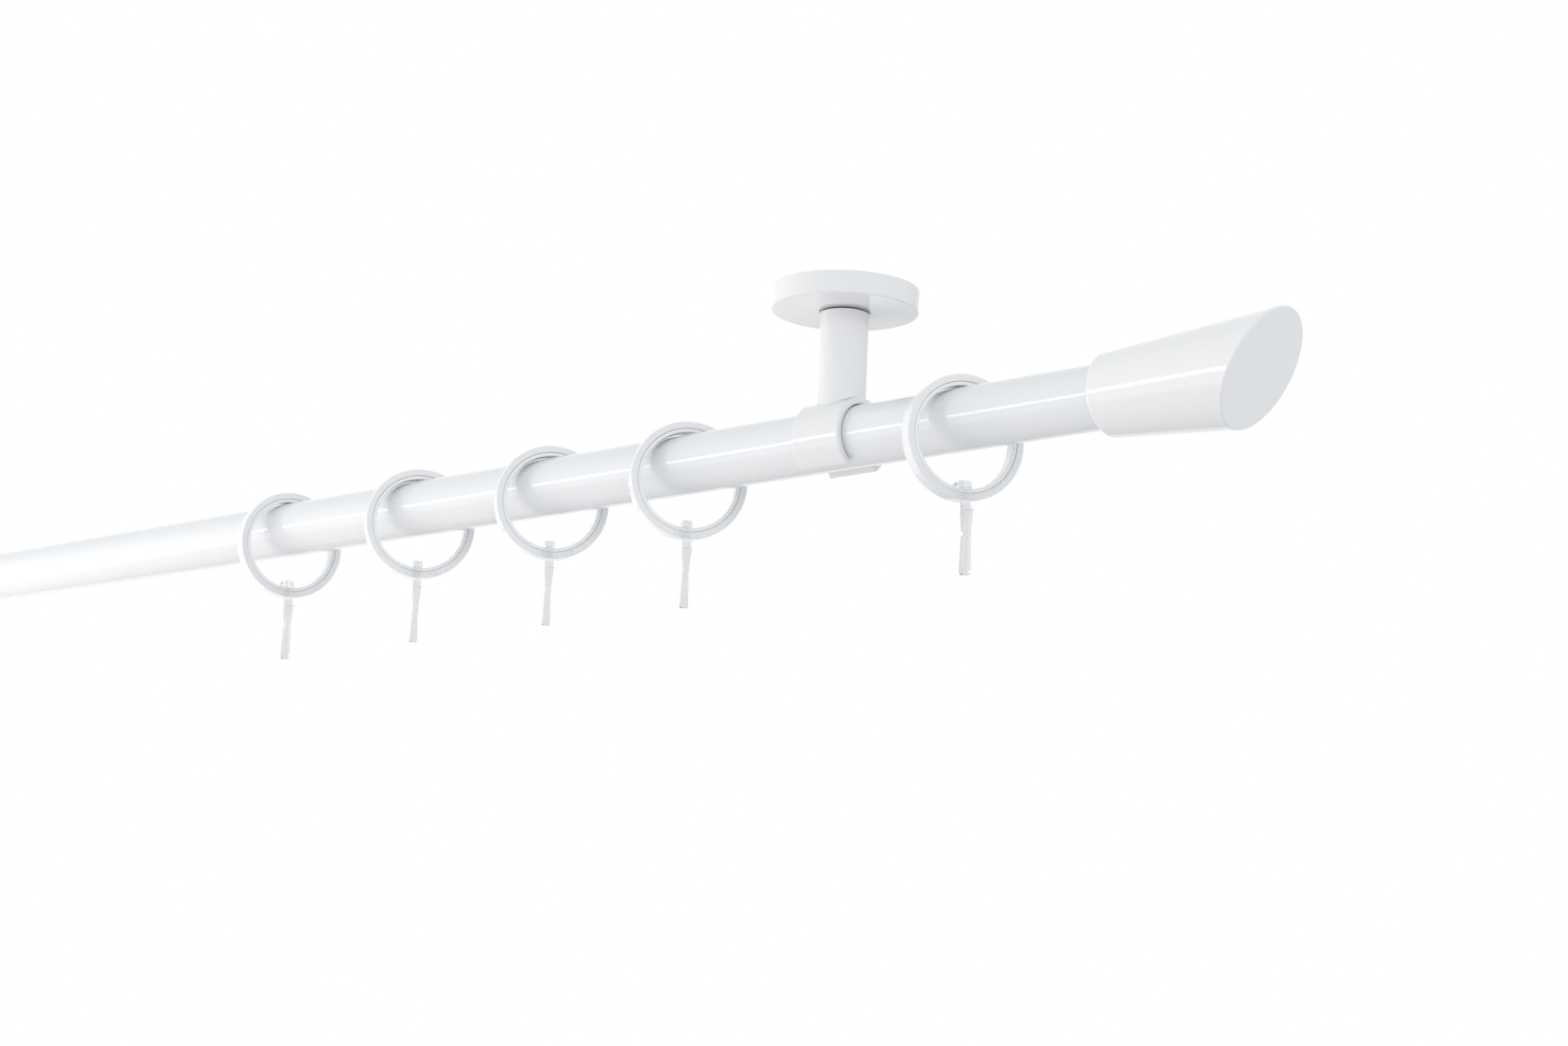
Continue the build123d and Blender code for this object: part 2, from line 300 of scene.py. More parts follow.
def close_rim(bm, rim):
    """Close a rim with a flat face, and return the face."""
    return bmesh.ops.edgeloop_fill(bm, edges=rim)["faces"][0]


def swell_rim(bm, rim, centre, factor):
    """Carry a rim outwards or inwards in its own plane, and return the new rim."""
    rim = push_rim(bm, rim, (0, 0, 0))
    verts = list({vert for edge in rim for vert in edge.verts})
    bmesh.ops.scale(bm, vec=(factor, factor, 1), space=Matrix.Translation(centre).inverted(), verts=verts)
    return rim


def finish_piece(bm, name, finish, slot, body, *nodes):
    """Make an object of a bmesh that rides on a body and stands for CAD nodes."""
    close_shell(bm)
    for face in bm.faces:
        face.smooth = True
    for edge in bm.edges:
        edge.smooth = edge.calc_face_angle(0.0) < CREASE
    mesh = bpy.data.meshes.new(name)
    bm.to_mesh(mesh)
    bm.free()
    mesh.materials.append(finish)
    piece = bpy.data.objects.new(name, mesh)
    bpy.context.scene.collection.objects.link(piece)
    weighted = piece.modifiers.new("flat faces stay flat", "WEIGHTED_NORMAL")
    weighted.keep_sharp = True
    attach(piece, body)
    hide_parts(*nodes)
    return piece


def dress_node(node, finish):
    """Give a CAD node that keeps its own shape a finish."""
    materials = frame["nodes"][node].data.materials
    materials.clear()
    materials.append(finish)


def link(tree, source, target):
    tree.links.new(source, target)


def add_node(tree, kind, **settings):
    node = tree.nodes.new(kind)
    for key, value in settings.items():
        setattr(node, key, value)
    return node


def add_noise(tree, vector, scale, detail):
    """Noise on a vector, with its scale from a value or a socket."""
    noise = add_node(tree, "ShaderNodeTexNoise")
    link(tree, vector, noise.inputs["Vector"])
    noise.inputs["Detail"].default_value = detail
    if isinstance(scale, float):
        noise.inputs["Scale"].default_value = scale
    else:
        link(tree, scale, noise.inputs["Scale"])
    return noise.outputs["Fac"]


def add_mix(tree, factor, first, second):
    """Mix two colours from sockets by a factor."""
    mix = add_node(tree, "ShaderNodeMix", data_type="RGBA")
    link(tree, factor, mix.inputs["Factor"])
    link(tree, first, mix.inputs["A"])
    link(tree, second, mix.inputs["B"])
    return mix.outputs["Result"]


def add_range(tree, value, low, high):
    """Stretch the middle of a noise to run from low to high, which are sockets."""
    stretch = add_node(tree, "ShaderNodeMapRange", clamp=True)
    link(tree, value, stretch.inputs["Value"])
    stretch.inputs["From Min"].default_value = 0.3
    stretch.inputs["From Max"].default_value = 0.7
    link(tree, low, stretch.inputs["To Min"])
    link(tree, high, stretch.inputs["To Max"])
    return stretch.outputs["Result"]


def new_group(name, inputs, outputs):
    """Empty shader group with named sockets; inputs give a socket type and a default."""
    group = bpy.data.node_groups.new(name, "ShaderNodeTree")
    for label, (kind, default) in inputs.items():
        socket = group.interface.new_socket(label, in_out="INPUT", socket_type=kind)
        socket.default_value = default
    for label, kind in outputs.items():
        group.interface.new_socket(label, in_out="OUTPUT", socket_type=kind)
    return group, group.nodes.new("NodeGroupInput").outputs, group.nodes.new("NodeGroupOutput").inputs


FLOAT = "NodeSocketFloat"
COLOUR = "NodeSocketColor"
VECTOR = "NodeSocketVector"


def coat_skin():
    """Skin of a coat or moulding: slow drift of tone, patches of gloss, and fine orange peel."""
    group = bpy.data.node_groups.get("coat_skin")
    if group:
        return group
    group, given, out = new_group(
        "coat_skin",
        {
            "Light": (COLOUR, (0.85, 0.85, 0.85, 1.0)),
            "Shade": (COLOUR, (0.80, 0.80, 0.80, 1.0)),
            "Gloss": (FLOAT, 0.15),
            "Dull": (FLOAT, 0.25),
            "Peel Scale": (FLOAT, 700.0),
            "Stretch": (VECTOR, (1.0, 1.0, 1.0)),
        },
        {"Color": COLOUR, "Roughness": FLOAT, "Height": FLOAT},
    )
    place = add_node(group, "ShaderNodeTexCoord").outputs["Object"]
    stretched = add_node(group, "ShaderNodeVectorMath", operation="MULTIPLY")
    link(group, place, stretched.inputs[0])
    link(group, given["Stretch"], stretched.inputs[1])
    drift = add_noise(group, stretched.outputs["Vector"], scale=26.0, detail=3.0)
    patches = add_noise(group, stretched.outputs["Vector"], scale=85.0, detail=4.0)
    peel = add_noise(group, stretched.outputs["Vector"], scale=given["Peel Scale"], detail=2.0)
    link(group, add_mix(group, drift, given["Light"], given["Shade"]), out["Color"])
    link(group, add_range(group, patches, given["Gloss"], given["Dull"]), out["Roughness"])
    link(group, peel, out["Height"])
    return group


def settled_dust():
    """Mask of thin dust, on faces that look up, broken up by noise."""
    group = bpy.data.node_groups.get("settled_dust")
    if group:
        return group
    group, given, out = new_group("settled_dust", {"Amount": (FLOAT, 0.2)}, {"Mask": FLOAT})
    facing = add_node(group, "ShaderNodeSeparateXYZ")
    link(group, add_node(group, "ShaderNodeNewGeometry").outputs["Normal"], facing.inputs["Vector"])
    upward = add_node(group, "ShaderNodeMapRange", clamp=True)
    link(group, facing.outputs["Z"], upward.inputs["Value"])
    upward.inputs["From Min"].default_value = 0.55
    upward.inputs["From Max"].default_value = 1.0
    link(group, given["Amount"], upward.inputs["To Max"])
    place = add_node(group, "ShaderNodeTexCoord").outputs["Object"]
    specks = add_noise(group, place, scale=900.0, detail=5.0)
    mask = add_node(group, "ShaderNodeMath", operation="MULTIPLY", use_clamp=True)
    link(group, upward.outputs["Result"], mask.inputs[0])
    link(group, specks, mask.inputs[1])
    link(group, mask.outputs["Value"], out["Mask"])
    return group


def opaque(value):
    """A colour property as the four numbers of a colour socket."""
    return (*value, 1.0)


def place_group(tree, group, **values):
    """Group node with its own values; underscores in the names stand for spaces."""
    node = add_node(tree, "ShaderNodeGroup", node_tree=group)
    for label, value in values.items():
        node.inputs[label.replace("_", " ")].default_value = value
    return node


def skin_material(name, light, shade, gloss, dull, peel_scale, peel_depth, stretch=(1.0, 1.0, 1.0)):
    """New material with a coat skin on its shader; returns the material, its shader and the skin's node."""
    material = bpy.data.materials.new(name)
    material.use_nodes = True
    tree = material.node_tree
    shader = tree.nodes["Principled BSDF"]
    skin = place_group(
        tree,
        coat_skin(),
        Light=opaque(light),
        Shade=opaque(shade),
        Gloss=gloss,
        Dull=dull,
        Peel_Scale=peel_scale,
        Stretch=stretch,
    )
    bump = add_node(tree, "ShaderNodeBump")
    bump.inputs["Strength"].default_value = 1.0
    bump.inputs["Distance"].default_value = peel_depth
    link(tree, skin.outputs["Height"], bump.inputs["Height"])
    link(tree, bump.outputs["Normal"], shader.inputs["Normal"])
    link(tree, skin.outputs["Color"], shader.inputs["Base Color"])
    link(tree, skin.outputs["Roughness"], shader.inputs["Roughness"])
    return material, shader, skin


def dust_over(material, shader, skin, dust, amount):
    """Thin dust over a skin's colour."""
    tree = material.node_tree
    mask = place_group(tree, settled_dust(), Amount=amount).outputs["Mask"]
    mix = add_node(tree, "ShaderNodeMix", data_type="RGBA")
    mix.inputs["B"].default_value = opaque(dust)
    link(tree, mask, mix.inputs["Factor"])
    link(tree, skin.outputs["Color"], mix.inputs["A"])
    link(tree, mix.outputs["Result"], shader.inputs["Base Color"])


def rod_lacquer(colours):
    """Glossy sprayed coat of the rod."""
    material, shader, skin = skin_material(
        "rod_coat",
        colours.rod,
        colours.rod_shade,
        gloss=0.035,
        dull=0.07,
        peel_scale=500.0,
        peel_depth=0.0000008,
        stretch=(0.4, 1.0, 1.0),
    )
    dust_over(material, shader, skin, colours.dust, 0.12)
    return material


def white_lacquer(colours):
    """Glossy sprayed coat of the brackets."""
    found = bpy.data.materials.get("bracket_coat")
    if found:
        return found
    material, shader, skin = skin_material(
        "bracket_coat",
        colours.lacquer,
        colours.lacquer_shade,
        gloss=0.035,
        dull=0.07,
        peel_scale=500.0,
        peel_depth=0.0000008,
    )
    dust_over(material, shader, skin, colours.dust, 0.12)
    return material


def ring_lacquer(colours):
    """Sprayed coat of the rings, a little less glossy than the rod's."""
    material, shader, skin = skin_material(
        "ring_coat",
        colours.ring,
        colours.ring_shade,
        gloss=0.07,
        dull=0.13,
        peel_scale=900.0,
        peel_depth=0.0000012,
    )
    dust_over(material, shader, skin, colours.dust, 0.15)
    return material


def white_plastic(colours):
    """Moulded plastic of the finials, with faint flow lines along the rod."""
    material, shader, skin = skin_material(
        "white_moulding",
        colours.finial,
        colours.finial_shade,
        gloss=0.06,
        dull=0.11,
        peel_scale=420.0,
        peel_depth=0.0000008,
        stretch=(0.35, 1.0, 1.0),
    )
    dust_over(material, shader, skin, colours.dust, 0.12)
    return material


def liner_plastic(colours):
    """Pale glide plastic of the liners."""
    return skin_material(
        "glide_plastic",
        colours.liner,
        colours.liner_shade,
        gloss=0.18,
        dull=0.30,
        peel_scale=1500.0,
        peel_depth=0.000002,
    )[0]


def clear_plastic(colours):
    """Clear moulded plastic of the hooks, with flow lines down the leg."""
    material, shader, _ = skin_material(
        "clear_moulding",
        colours.clear,
        colours.clear_shade,
        gloss=0.0,
        dull=0.02,
        peel_scale=350.0,
        peel_depth=0.0000003,
        stretch=(1.0, 1.0, 0.2),
    )
    shader.inputs["Transmission Weight"].default_value = 1.0
    shader.inputs["IOR"].default_value = 1.22
    return material


def zinc_steel(colours):
    """Zinc plate with spangles, on the hidden plates and screws."""
    material, shader, skin = skin_material(
        "zinc_plate",
        colours.zinc,
        colours.zinc_shade,
        gloss=0.28,
        dull=0.45,
        peel_scale=1800.0,
        peel_depth=0.000006,
    )
    tree = material.node_tree
    spangle = add_node(tree, "ShaderNodeTexVoronoi")
    spangle.inputs["Scale"].default_value = 420.0
    link(tree, add_node(tree, "ShaderNodeTexCoord").outputs["Object"], spangle.inputs["Vector"])
    mix = add_node(tree, "ShaderNodeMix", data_type="RGBA", blend_type="SOFT_LIGHT")
    mix.inputs["Factor"].default_value = 0.35
    link(tree, skin.outputs["Color"], mix.inputs["A"])
    link(tree, spangle.outputs["Color"], mix.inputs["B"])
    bare = add_node(tree, "ShaderNodeHueSaturation")
    bare.inputs["Saturation"].default_value = 0.08
    link(tree, mix.outputs["Result"], bare.inputs["Color"])
    link(tree, bare.outputs["Color"], shader.inputs["Base Color"])
    shader.inputs["Metallic"].default_value = 1.0
    return material


def shadow_gap_black(colours):
    """Matt black of the rings under the covers, painted shadow that darkens the gap below each cover."""
    return skin_material(
        "shadow_gap_black_ring",
        colours.rubber,
        colours.rubber_shade,
        gloss=0.55,
        dull=0.75,
        peel_scale=2200.0,
        peel_depth=0.000008,
    )[0]


class CURTAINROD_OT_rod(bpy.types.Operator):
    """Turn the rod's tube about its axis"""

    bl_idname = "curtain_rod.make_rod"
    bl_label = "Make Rod"

    def execute(self, context):
        sizes = context.scene.curtain_rod_brackets
        low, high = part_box("rod_tube")
        outer = (high.z - low.z) / 2
        inner = outer - sizes.rod_wall
        section = [
            (low.x, 0, ROD_AXIS.z + inner),
            (low.x, 0, ROD_AXIS.z + outer),
            (high.x, 0, ROD_AXIS.z + outer),
            (high.x, 0, ROD_AXIS.z + inner),
        ]
        bm = spin_section(section, ROD_AXIS, (1, 0, 0), ROD_STEPS)
        round_edges(bm, sizes.rod_edge, 2)
        finish = rod_lacquer(context.scene.curtain_rod_colours)
        finish_piece(bm, "rod", finish, "white_lacquer", ROOT, "rod_tube")
        return {"FINISHED"}


class CURTAINROD_OT_rosettes(bpy.types.Operator):
    """Turn the two covers at the ceiling"""

    bl_idname = "curtain_rod.make_rosettes"
    bl_label = "Make Rosettes"

    def execute(self, context):
        sizes = context.scene.curtain_rod_brackets
        finish = white_lacquer(context.scene.curtain_rod_colours)
        for side in SIDES:
            node = f"{side}_rosette"
            low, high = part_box(node)
            x = (low.x + high.x) / 2
            top = (high.x - low.x) / 2
            bottom = top - sizes.rosette_taper
            hole = spread(f"{side}_stem").x / 2 + sizes.rosette_gap
            floor = low.z + sizes.rosette_wall
            section = [
                (x + hole, 0, low.z),
                (x + bottom, 0, low.z),
                (x + top, 0, high.z),
                (x + top - sizes.rosette_wall, 0, high.z),
                (x + bottom - sizes.rosette_wall, 0, floor),
                (x + hole, 0, floor),
            ]
            bm = spin_section(section, (x, 0, 0), (0, 0, 1), COVER_STEPS)
            rim = bottom - sizes.rosette_edge
            round_edges(
                bm,
                sizes.rosette_edge,
                5,
                lambda edge: all(
                    vert.co.z < low.z + 1e-6 and (vert.co - Vector((x, 0, vert.co.z))).length > rim
                    for vert in edge.verts
                ),
            )
            round_edges(bm, sizes.rosette_fine_edge, 2)
            finish_piece(bm, f"{side}_cover", finish, "white_lacquer", f"{side}_cover", node)
        return {"FINISHED"}


class CURTAINROD_OT_stems(bpy.types.Operator):
    """Extrude the two posts and cope them over the clips"""

    bl_idname = "curtain_rod.make_stems"
    bl_label = "Make Stems"

    def execute(self, context):
        sizes = context.scene.curtain_rod_brackets
        finish = white_lacquer(context.scene.curtain_rod_colours)
        for side in SIDES:
            node = f"{side}_stem"
            low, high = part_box(node)
            x = (low.x + high.x) / 2
            radius = (high.x - low.x) / 2
            saddle = spread(f"{side}_clip").y / 2 + sizes.saddle_gap
            groove_low, groove_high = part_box(f"{side}_rubber_ring")
            groove_top = groove_high.z + sizes.groove_gap
            groove_bottom = groove_low.z - sizes.groove_gap
            waist = (radius - sizes.groove_depth) / radius
            bm = bmesh.new()
            bmesh.ops.create_circle(
                bm,
                cap_ends=True,
                segments=POST_STEPS,
                radius=radius,
                matrix=Matrix.Translation((x, 0, high.z)),
            )
            rim = push_rim(bm, bm.edges[:], (0, 0, groove_top - high.z))
            rim = swell_rim(bm, rim, (x, 0, groove_top), waist)
            rim = push_rim(bm, rim, (0, 0, groove_bottom - groove_top))
            rim = swell_rim(bm, rim, (x, 0, groove_bottom), 1 / waist)
            rim = push_rim(bm, rim, (0, 0, low.z - groove_bottom))
            for vert in {vert for edge in rim for vert in edge.verts}:
                vert.co.z = ROD_AXIS.z + sqrt(saddle**2 - vert.co.y**2)
            close_rim(bm, rim)
            close_shell(bm)
            round_edges(
                bm,
                sizes.stem_edge,
                3,
                lambda edge: max(vert.co.z for vert in edge.verts) < groove_bottom - radius / 2,
            )
            round_edges(
                bm,
                sizes.groove_edge,
                2,
                lambda edge: edge.calc_length() > SHORTEST_RIM_EDGE and is_level(edge),
            )
            finish_piece(bm, f"{side}_post", finish, "white_lacquer", ROOT, node)
        return {"FINISHED"}


class CURTAINROD_OT_clips(bpy.types.Operator):
    """Coat the two clips, which keep the shape of the frame"""

    bl_idname = "curtain_rod.finish_clips"
    bl_label = "Finish Clips"

    def execute(self, context):
        finish = white_lacquer(context.scene.curtain_rod_colours)
        for side in SIDES:
            dress_node(f"{side}_clip", finish)
        return {"FINISHED"}


class CURTAINROD_OT_finials(bpy.types.Operator):
    """Finish the two slanted end pieces, which keep the shape of the frame"""

    bl_idname = "curtain_rod.finish_finials"
    bl_label = "Finish Finials"

    def execute(self, context):
        finish = white_plastic(context.scene.curtain_rod_colours)
        for side in SIDES:
            dress_node(f"{side}_finial", finish)
        return {"FINISHED"}


def ring_place(number):
    """A ring's own frame: X out of its front face, Z up, origin at its centre."""
    joint = next(joint for joint in frame["joints"] if joint["name"] == f"hook_{number}_swing")
    front = Vector(joint["axis"])
    if front.y > 0:
        front.negate()
    up = Vector((0, 0, 1))
    turned = Matrix((front, up.cross(front), up)).transposed()
    return Matrix.Translation(joint["pos_m"]) @ turned.to_4x4()


def spin_band(inner, outer, width):
    """A ring of rectangular section about X."""
    section = [
        (-width / 2, 0, inner),
        (-width / 2, 0, outer),
        (width / 2, 0, outer),
        (width / 2, 0, inner),
    ]
    return spin_section(section, (0, 0, 0), (1, 0, 0), RING_STEPS)


class CURTAINROD_OT_rings(bpy.types.Operator):
    """Turn the rings and round their edges"""

    bl_idname = "curtain_rod.make_rings"
    bl_label = "Make Rings"

    def execute(self, context):
        sizes = context.scene.curtain_rod_rings
        finish = ring_lacquer(context.scene.curtain_rod_colours)
        for number in RING_NUMBERS:
            bm = spin_band(sizes.ring_inner, sizes.ring_outer, sizes.ring_width)
            round_edges(bm, sizes.ring_edge, 3)
            bm.transform(ring_place(number))
            finish_piece(
                bm, f"slide_ring_{number}", finish, "ring_lacquer", f"ring_body_{number}", f"ring_{number}"
            )
        return {"FINISHED"}


class CURTAINROD_OT_liners(bpy.types.Operator):
    """Turn the glide liners inside the rings"""

    bl_idname = "curtain_rod.make_liners"
    bl_label = "Make Liners"

    def execute(self, context):
        sizes = context.scene.curtain_rod_rings
        finish = liner_plastic(context.scene.curtain_rod_colours)
        for number in RING_NUMBERS:
            bm = spin_band(sizes.liner_inner, sizes.liner_outer, sizes.liner_width)
            round_edges(bm, sizes.liner_edge, 3)
            bm.transform(ring_place(number))
            finish_piece(
                bm, f"glide_{number}", finish, "liner_plastic", f"ring_body_{number}", f"liner_{number}"
            )
        return {"FINISHED"}


def hook_half_width(sizes, rim, height):
    """Half the strip's width at a height: full at the ring, narrow at the tongue's tip, wide at the foot."""
    shoulder = rim - sizes.neck - sizes.thickness / 2 - sizes.bend
    waist = rim - sizes.tongue
    foot = rim - sizes.drop
    if height >= shoulder:
        return sizes.width / 2
    if height >= waist:
        share = (shoulder - height) / (shoulder - waist)
        return (sizes.width + share * (sizes.waist - sizes.width)) / 2
    share = (waist - height) / (waist - foot)
    corner = sizes.foot / 4
    up = min(max(height - foot, 0.0), corner)
    cut = corner - sqrt(corner**2 - (corner - up) ** 2)
    return (sizes.waist + share * (sizes.foot - sizes.waist)) / 2 - cut


def model_hook(sizes, rings):
    """Hook in its ring's frame.

    A thick C goes over the lower rim and runs out into a tongue. The leg turns up into a prong.
    """
    rim = -rings.ring_outer
    half = sizes.thickness / 2
    thick = sizes.rim_thickness / 2
    front = rings.ring_width / 2 + sizes.side_gap + thick
    top = thick + sizes.top_gap - rings.liner_inner
    lip = rim + sizes.lip
    shoulder = sqrt(thick**2 - half**2)
    arch = rim - sizes.neck - half
    tongue = rim - sizes.tongue
    leg = front + sizes.step
    foot = rim - sizes.drop + half + sizes.step / 2
    prong = tongue - sizes.mouth
    inner = top - sizes.bend
    bm = bmesh.new()
    start = Matrix.Translation((-front, 0, lip - thick))
    bmesh.ops.create_grid(bm, x_segments=1, y_segments=1, size=thick, matrix=start)
    tips = bm.faces[:]
    edge = push_rim(bm, bm.edges[:], (0, 0, inner - lip + thick))
    edge = bend_rim(bm, edge, (-front + sizes.bend, 0, inner), pi / 2, BEND_STEPS)
    edge = push_rim(bm, edge, (2 * (front - sizes.bend), 0, 0))
    edge = bend_rim(bm, edge, (front - sizes.bend, 0, inner), pi / 2, BEND_STEPS)
    edge = push_rim(bm, edge, (0, 0, lip - inner))
    edge = push_rim(bm, edge, (0, 0, -shoulder))
    for vert in {vert for side in edge for vert in side.verts}:
        vert.co.x = front + copysign(half, vert.co.x - front)
    edge = push_rim(bm, edge, (0, 0, arch + half - lip + shoulder))
    edge = push_rim(bm, edge, (0, 0, -sizes.thickness))
    centres = {face: face.calc_center_median() for face in bm.faces}
    branch = max(bm.faces, key=lambda face: centres[face].x - abs(centres[face].z - arch))
    edge = push_rim(bm, edge, (0, 0, -sizes.bend + half))
    edge = push_rim(bm, edge, (0, 0, tongue - arch + sizes.bend))
    tips.append(close_rim(bm, edge))
    edge = branch.edges[:]
    bmesh.ops.delete(bm, geom=[branch], context="FACES_ONLY")
    reach = sizes.step - half
    edge = bend_rim(bm, edge, (front + half, 0, arch - reach), pi / 2, BEND_STEPS)
    edge = push_rim(bm, edge, (0, 0, tongue - arch + reach))
    edge = push_rim(bm, edge, (0, 0, foot - tongue))
    edge = bend_rim(bm, edge, (leg - sizes.step / 2, 0, foot), pi, FOOT_STEPS)
    edge = push_rim(bm, edge, (0, 0, prong - foot))
    tips.append(close_rim(bm, edge))
    for vert in bm.verts:
        vert.co.y = copysign(hook_half_width(sizes, rim, vert.co.z), vert.co.y)
    close_shell(bm)
    for face, radius in zip(tips, (thick, half, half)):
        ends = [edge for edge in face.edges if abs(edge.verts[0].co.x - edge.verts[1].co.x) < SAME_PLACE]
        round_edges(bm, TIP_ROUNDING * radius, 5, lambda edge: edge in ends)
    round_edges(bm, sizes.edge, 2)
    return bm


class CURTAINROD_OT_hooks(bpy.types.Operator):
    """Carry the clear strip of each hook along its bends"""

    bl_idname = "curtain_rod.make_hooks"
    bl_label = "Make Hooks"

    def execute(self, context):
        sizes = context.scene.curtain_rod_hooks
        finish = clear_plastic(context.scene.curtain_rod_colours)
        for number in RING_NUMBERS:
            bm = model_hook(sizes, context.scene.curtain_rod_rings)
            place = ring_place(number)
            bm.transform(place @ Matrix.Rotation(-copysign(sizes.turn, place.col[0].x), 4, "Z"))
            finish_piece(
                bm, f"clear_hook_{number}", finish, "clear_plastic", f"hook_body_{number}", f"hook_{number}"
            )
        return {"FINISHED"}


class CURTAINROD_OT_shadow_gap_rings(bpy.types.Operator):
    """Blacken the rings under the covers, which keep the shape of the frame, as painted shadow in the gap
    below each cover
    """

    bl_idname = "curtain_rod.finish_rubber_rings"
    bl_label = "Finish Rubber Rings"

    def execute(self, context):
        finish = shadow_gap_black(context.scene.curtain_rod_colours)
        for side in SIDES:
            dress_node(f"{side}_rubber_ring", finish)
        return {"FINISHED"}


class CURTAINROD_OT_fasteners(bpy.types.Operator):
    """Plate the ceiling plates and screws, which keep the shape of the frame"""

    bl_idname = "curtain_rod.finish_fasteners"
    bl_label = "Finish Fasteners"

    def execute(self, context):
        finish = zinc_steel(context.scene.curtain_rod_colours)
        for side in SIDES:
            for piece in ("mounting_plate", "stem_screw", "clip_screw", "clamp_screw", "finial_screw"):
                dress_node(f"{side}_{piece}", finish)
        return {"FINISHED"}


def add_area_light(name, place, target, size, watts, tint=(1.0, 1.0, 1.0)):
    """Soft rectangular light, hidden from the camera, that looks at a target with its long side level."""
    lamp = bpy.data.lights.new(name, "AREA")
    lamp.shape = "RECTANGLE"
    lamp.size, lamp.size_y = size
    lamp.energy = watts
    lamp.color = tint
    light = bpy.data.objects.new(name, lamp)
    away = (Vector(place) - Vector(target)).normalized()
    right = Vector((0, 0, 1)).cross(away).normalized()
    facing = Matrix((right, away.cross(right), away)).transposed().to_4x4()
    light.matrix_world = Matrix.Translation(place) @ facing
    light.visible_camera = False
    bpy.context.scene.collection.objects.link(light)
    return light


def add_maths(tree, operation, first, second):
    """Maths on two values, each a number or a socket."""
    node = add_node(tree, "ShaderNodeMath", operation=operation)
    for value, socket in zip((first, second), node.inputs):
        if isinstance(value, float):
            socket.default_value = value
        else:
            link(tree, value, socket)
    return node.outputs["Value"]


def light_world(stage, colours):
    """Soft light, brighter from the front and the sides, behind a plain white background.

    Reflections and the clear hooks see a brighter sky than soft light does, as with bright studio panels.
    """
    world = bpy.data.worlds.new("studio")
    bpy.context.scene.world = world
    world.use_nodes = True
    tree = world.node_tree
    tree.nodes.clear()
    seen = add_node(tree, "ShaderNodeBackground")
    seen.inputs["Color"].default_value = WHITE
    around = add_node(tree, "ShaderNodeBackground")
    around.inputs["Color"].default_value = opaque(colours.sky)
    toward = add_node(tree, "ShaderNodeSeparateXYZ")
    link(tree, add_node(tree, "ShaderNodeTexCoord").outputs["Generated"], toward.inputs["Vector"])
    strength = stage.sky
    for axis, slope in (("Y", -stage.sky_front), ("X", stage.sky_right), ("X", -stage.sky_left)):
        lobe = add_maths(tree, "MAXIMUM", add_maths(tree, "MULTIPLY", toward.outputs[axis], slope), 0.0)
        strength = add_maths(tree, "ADD", lobe, strength)
    ray = add_node(tree, "ShaderNodeLightPath")
    through = ray.outputs["Is Transmission Ray"]
    mirrored = add_maths(tree, "GREATER_THAN", ray.outputs["Is Glossy Ray"], through)
    gain = add_maths(tree, "ADD", add_maths(tree, "MULTIPLY", mirrored, stage.sky_mirror), 1.0)
    gain = add_maths(tree, "ADD", add_maths(tree, "MULTIPLY", through, stage.sky_through), gain)
    link(tree, add_maths(tree, "MULTIPLY", strength, gain), around.inputs["Strength"])
    choose = add_node(tree, "ShaderNodeMixShader")
    link(tree, ray.outputs["Is Camera Ray"], choose.inputs["Fac"])
    link(tree, around.outputs["Background"], choose.inputs[1])
    link(tree, seen.outputs["Background"], choose.inputs[2])
    link(tree, choose.outputs["Shader"], add_node(tree, "ShaderNodeOutputWorld").inputs["Surface"])


class CURTAINROD_OT_stage(bpy.types.Operator):
    """Set the floor, the lights and the camera"""

    bl_idname = "curtain_rod.set_stage"
    bl_label = "Set Stage"

    def execute(self, context):
        stage = context.scene.curtain_rod_stage
        colours = context.scene.curtain_rod_colours
        bm = bmesh.new()
        place = Matrix.Translation((0, 0, -stage.floor_drop))
        bmesh.ops.create_grid(bm, x_segments=1, y_segments=1, size=stage.floor_size, matrix=place)
        mesh = bpy.data.meshes.new("floor")
        bm.to_mesh(mesh)
        bm.free()
        surface, *_ = skin_material(
            "studio_floor",
            colours.floor,
            colours.floor_shade,
            gloss=0.6,
            dull=0.8,
            peel_scale=300.0,
            peel_depth=0.00002,
        )
        mesh.materials.append(surface)
        floor = bpy.data.objects.new("floor", mesh)
        context.scene.collection.objects.link(floor)
        light_world(stage, colours)
        add_area_light("strip", (-1.45, -1.5, 0.0), (-1.45, 0.0, 0.0), (2.1, 0.22), stage.strip)
        add_area_light("left", (-0.98, -0.5, -0.30), (-0.1, 0.0, -0.05), (0.5, 0.27), stage.left)
        add_area_light("front", (-1.2, -0.9, 0.1), (0.1, 0.0, -0.05), (1.0, 1.0), stage.front, colours.lamp)
        fill = add_area_light(
            "below", (-0.25, -0.35, -0.6), (0.3, 0.0, -0.05), (0.9, 0.5), stage.below, colours.lamp
        )
        fill.visible_glossy = False
        ahead = Vector(
            (-sin(stage.yaw) * cos(stage.pitch), cos(stage.yaw) * cos(stage.pitch), sin(stage.pitch))
        )
        level = Vector((cos(stage.yaw), sin(stage.yaw), 0))
        upright = level.cross(ahead)
        right = cos(stage.roll) * level + sin(stage.roll) * upright
        up = cos(stage.roll) * upright - sin(stage.roll) * level
        view = bpy.data.cameras.new("photo_view")
        view.sensor_fit = "HORIZONTAL"
        view.sensor_width = 36.0
        view.lens = stage.lens
        view.clip_start = 0.01
        camera = bpy.data.objects.new("photo_view", view)
        facing = Matrix((right, up, -ahead)).transposed().to_4x4()
        camera.matrix_world = Matrix.Translation(stage.camera) @ facing
        context.scene.collection.objects.link(camera)
        context.scene.camera = camera
        context.scene.view_settings.view_transform = "Standard"
        return {"FINISHED"}


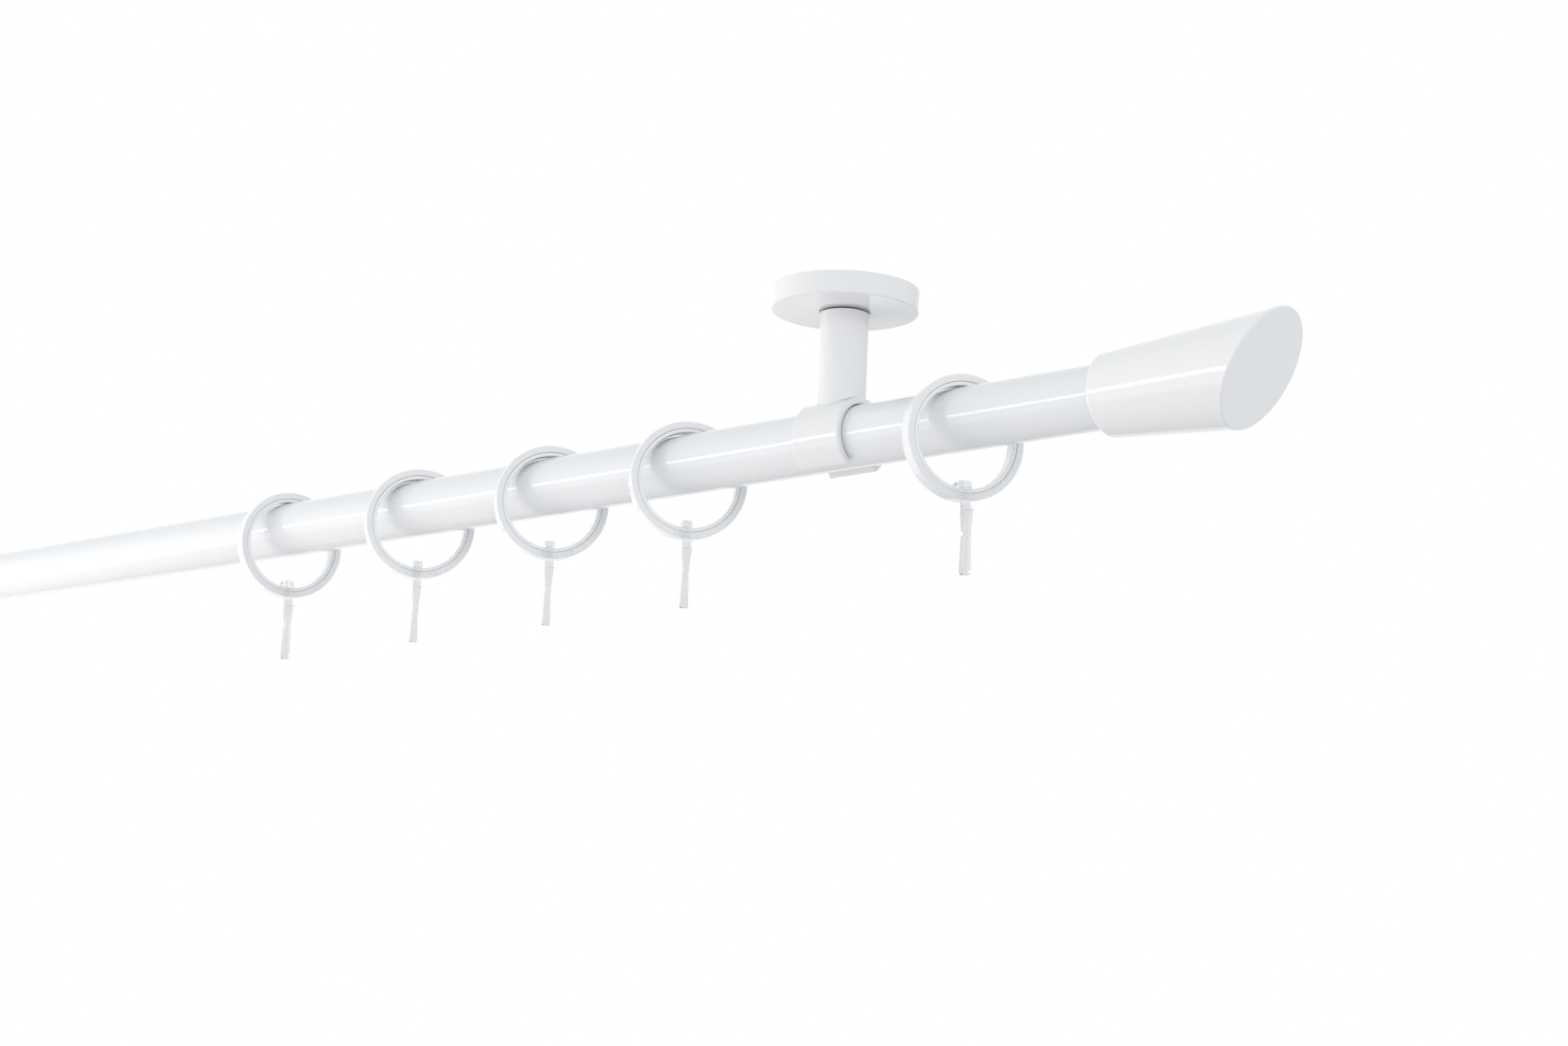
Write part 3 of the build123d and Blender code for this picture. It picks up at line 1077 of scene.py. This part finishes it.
GROUPS = (
    ("curtain_rod_brackets", CurtainRodBracketSizes),
    ("curtain_rod_rings", CurtainRodRingSizes),
    ("curtain_rod_hooks", CurtainRodHookSizes),
    ("curtain_rod_colours", CurtainRodColours),
    ("curtain_rod_stage", CurtainRodStage),
)
OPERATORS = (
    CURTAINROD_OT_rod,
    CURTAINROD_OT_rosettes,
    CURTAINROD_OT_stems,
    CURTAINROD_OT_clips,
    CURTAINROD_OT_finials,
    CURTAINROD_OT_rings,
    CURTAINROD_OT_liners,
    CURTAINROD_OT_hooks,
    CURTAINROD_OT_shadow_gap_rings,
    CURTAINROD_OT_fasteners,
    CURTAINROD_OT_stage,
)


class CURTAINROD_PT_sidebar(bpy.types.Panel):
    """Sizes, colours and steps of the curtain rod"""

    bl_idname = "CURTAINROD_PT_sidebar"
    bl_label = "Curtain Rod"
    bl_space_type = "VIEW_3D"
    bl_region_type = "UI"
    bl_category = "Curtain Rod"

    def draw(self, context):
        for operator in OPERATORS:
            self.layout.operator(operator.bl_idname)
        for attribute, group in GROUPS:
            box = self.layout.box()
            for name in group.__annotations__:
                box.prop(getattr(context.scene, attribute), name)


def register():
    for attribute, group in GROUPS:
        bpy.utils.register_class(group)
        setattr(bpy.types.Scene, attribute, PointerProperty(type=group))
    for operator in OPERATORS:
        bpy.utils.register_class(operator)
    bpy.utils.register_class(CURTAINROD_PT_sidebar)


def unregister():
    bpy.utils.unregister_class(CURTAINROD_PT_sidebar)
    for operator in reversed(OPERATORS):
        bpy.utils.unregister_class(operator)
    for attribute, group in reversed(GROUPS):
        delattr(bpy.types.Scene, attribute)
        bpy.utils.unregister_class(group)


def main():
    register()
    bpy.ops.curtain_rod.make_rod()
    bpy.ops.curtain_rod.make_rosettes()
    bpy.ops.curtain_rod.make_stems()
    bpy.ops.curtain_rod.finish_clips()
    bpy.ops.curtain_rod.finish_finials()
    bpy.ops.curtain_rod.make_rings()
    bpy.ops.curtain_rod.make_liners()
    bpy.ops.curtain_rod.make_hooks()
    # Painted shadow: blacken the rings in the gaps under the covers.
    bpy.ops.curtain_rod.finish_rubber_rings()
    bpy.ops.curtain_rod.finish_fasteners()
    bpy.ops.curtain_rod.set_stage()


if __name__ == "__main__":
    main()
